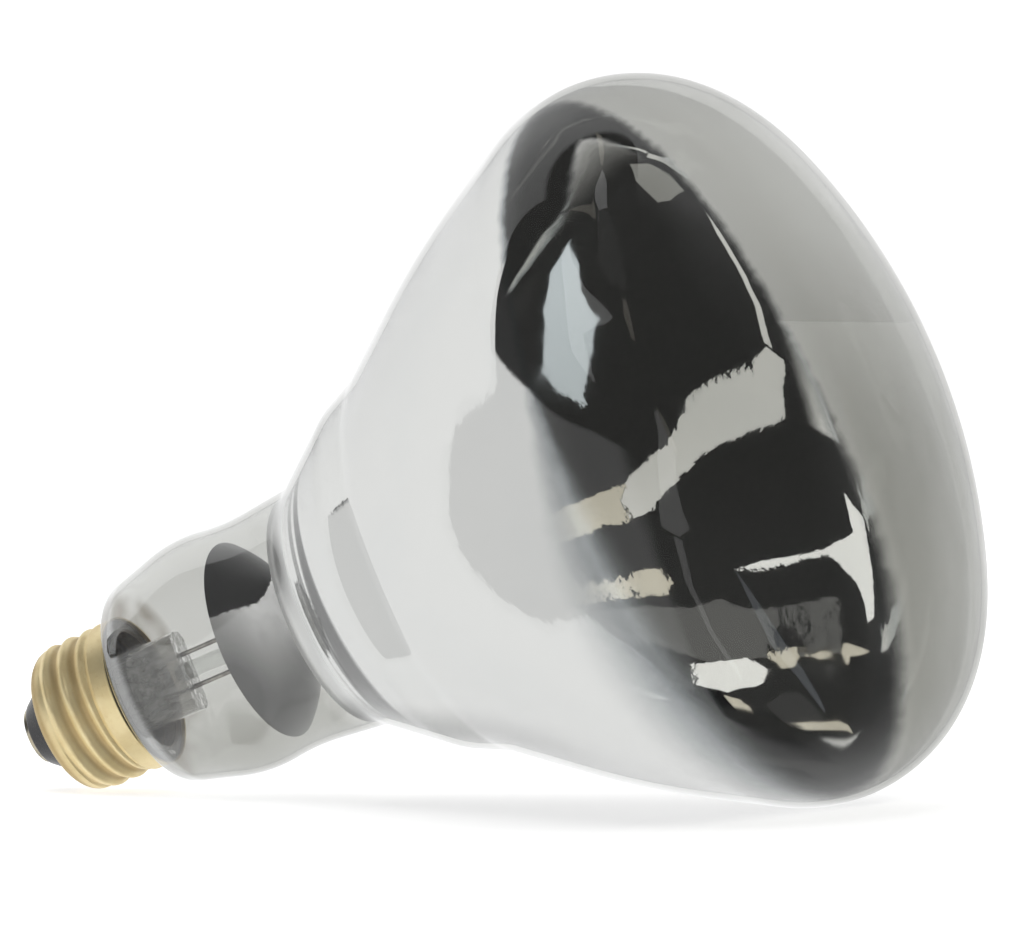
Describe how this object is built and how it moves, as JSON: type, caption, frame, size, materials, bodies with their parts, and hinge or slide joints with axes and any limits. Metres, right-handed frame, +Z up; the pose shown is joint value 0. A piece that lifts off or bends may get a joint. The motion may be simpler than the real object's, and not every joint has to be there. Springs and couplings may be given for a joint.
{
  "type": "infrared heat lamp bulb",
  "caption": "Reflector heat lamp bulb with a clear domed face, silvered bowl, clear neck with stem and heat shield, and a brass screw base, lying at rest",
  "frame": {"origin": "On the table under the middle of the lamp's box, as it lies on its screw shell and bowl rim", "axes": "+Z up. The lamp's axis lies in the XZ plane and rises 22.6 degrees from the base at -X to the face at +X"},
  "size_m": [0.1656, 0.127, 0.1209],
  "materials": {
    "brass": "rolled sheet, bright with light tarnish",
    "black_glass": "glossy opaque black",
    "tinned_brass": "tinned, dull",
    "solder": "cast drop, satin",
    "cement": "matt, baked",
    "clear_glass": "clear, polished by blowing",
    "silver_film": "evaporated aluminium, mirror bright",
    "stem_glass": "clear, fire polished",
    "nickel_wire": "drawn wire",
    "seal_wire": "copper-sheathed wire, oxidised in the press",
    "copper_wire": "drawn wire",
    "shield_metal": "polished sheet",
    "tungsten": "coiled wire"
  },
  "bodies": {
    "root": {"screw_shell": "brass", "base_insulator": "black_glass", "centre_contact": "tinned_brass", "centre_solder": "solder", "side_solder": "solder", "basing_cement": "cement", "glass_envelope": "clear_glass", "reflector_coating": "silver_film", "glass_stem": "stem_glass", "exhaust_tube": "stem_glass", "seal_wires": "seal_wire", "inner_lead_right": "nickel_wire", "inner_lead_left": "nickel_wire", "outer_lead_side": "copper_wire", "outer_lead_centre": "copper_wire", "support_rod": "stem_glass", "filament_hooks": "nickel_wire", "heat_shield": "shield_metal", "filament": "tungsten"}
  },
  "joints": []
}
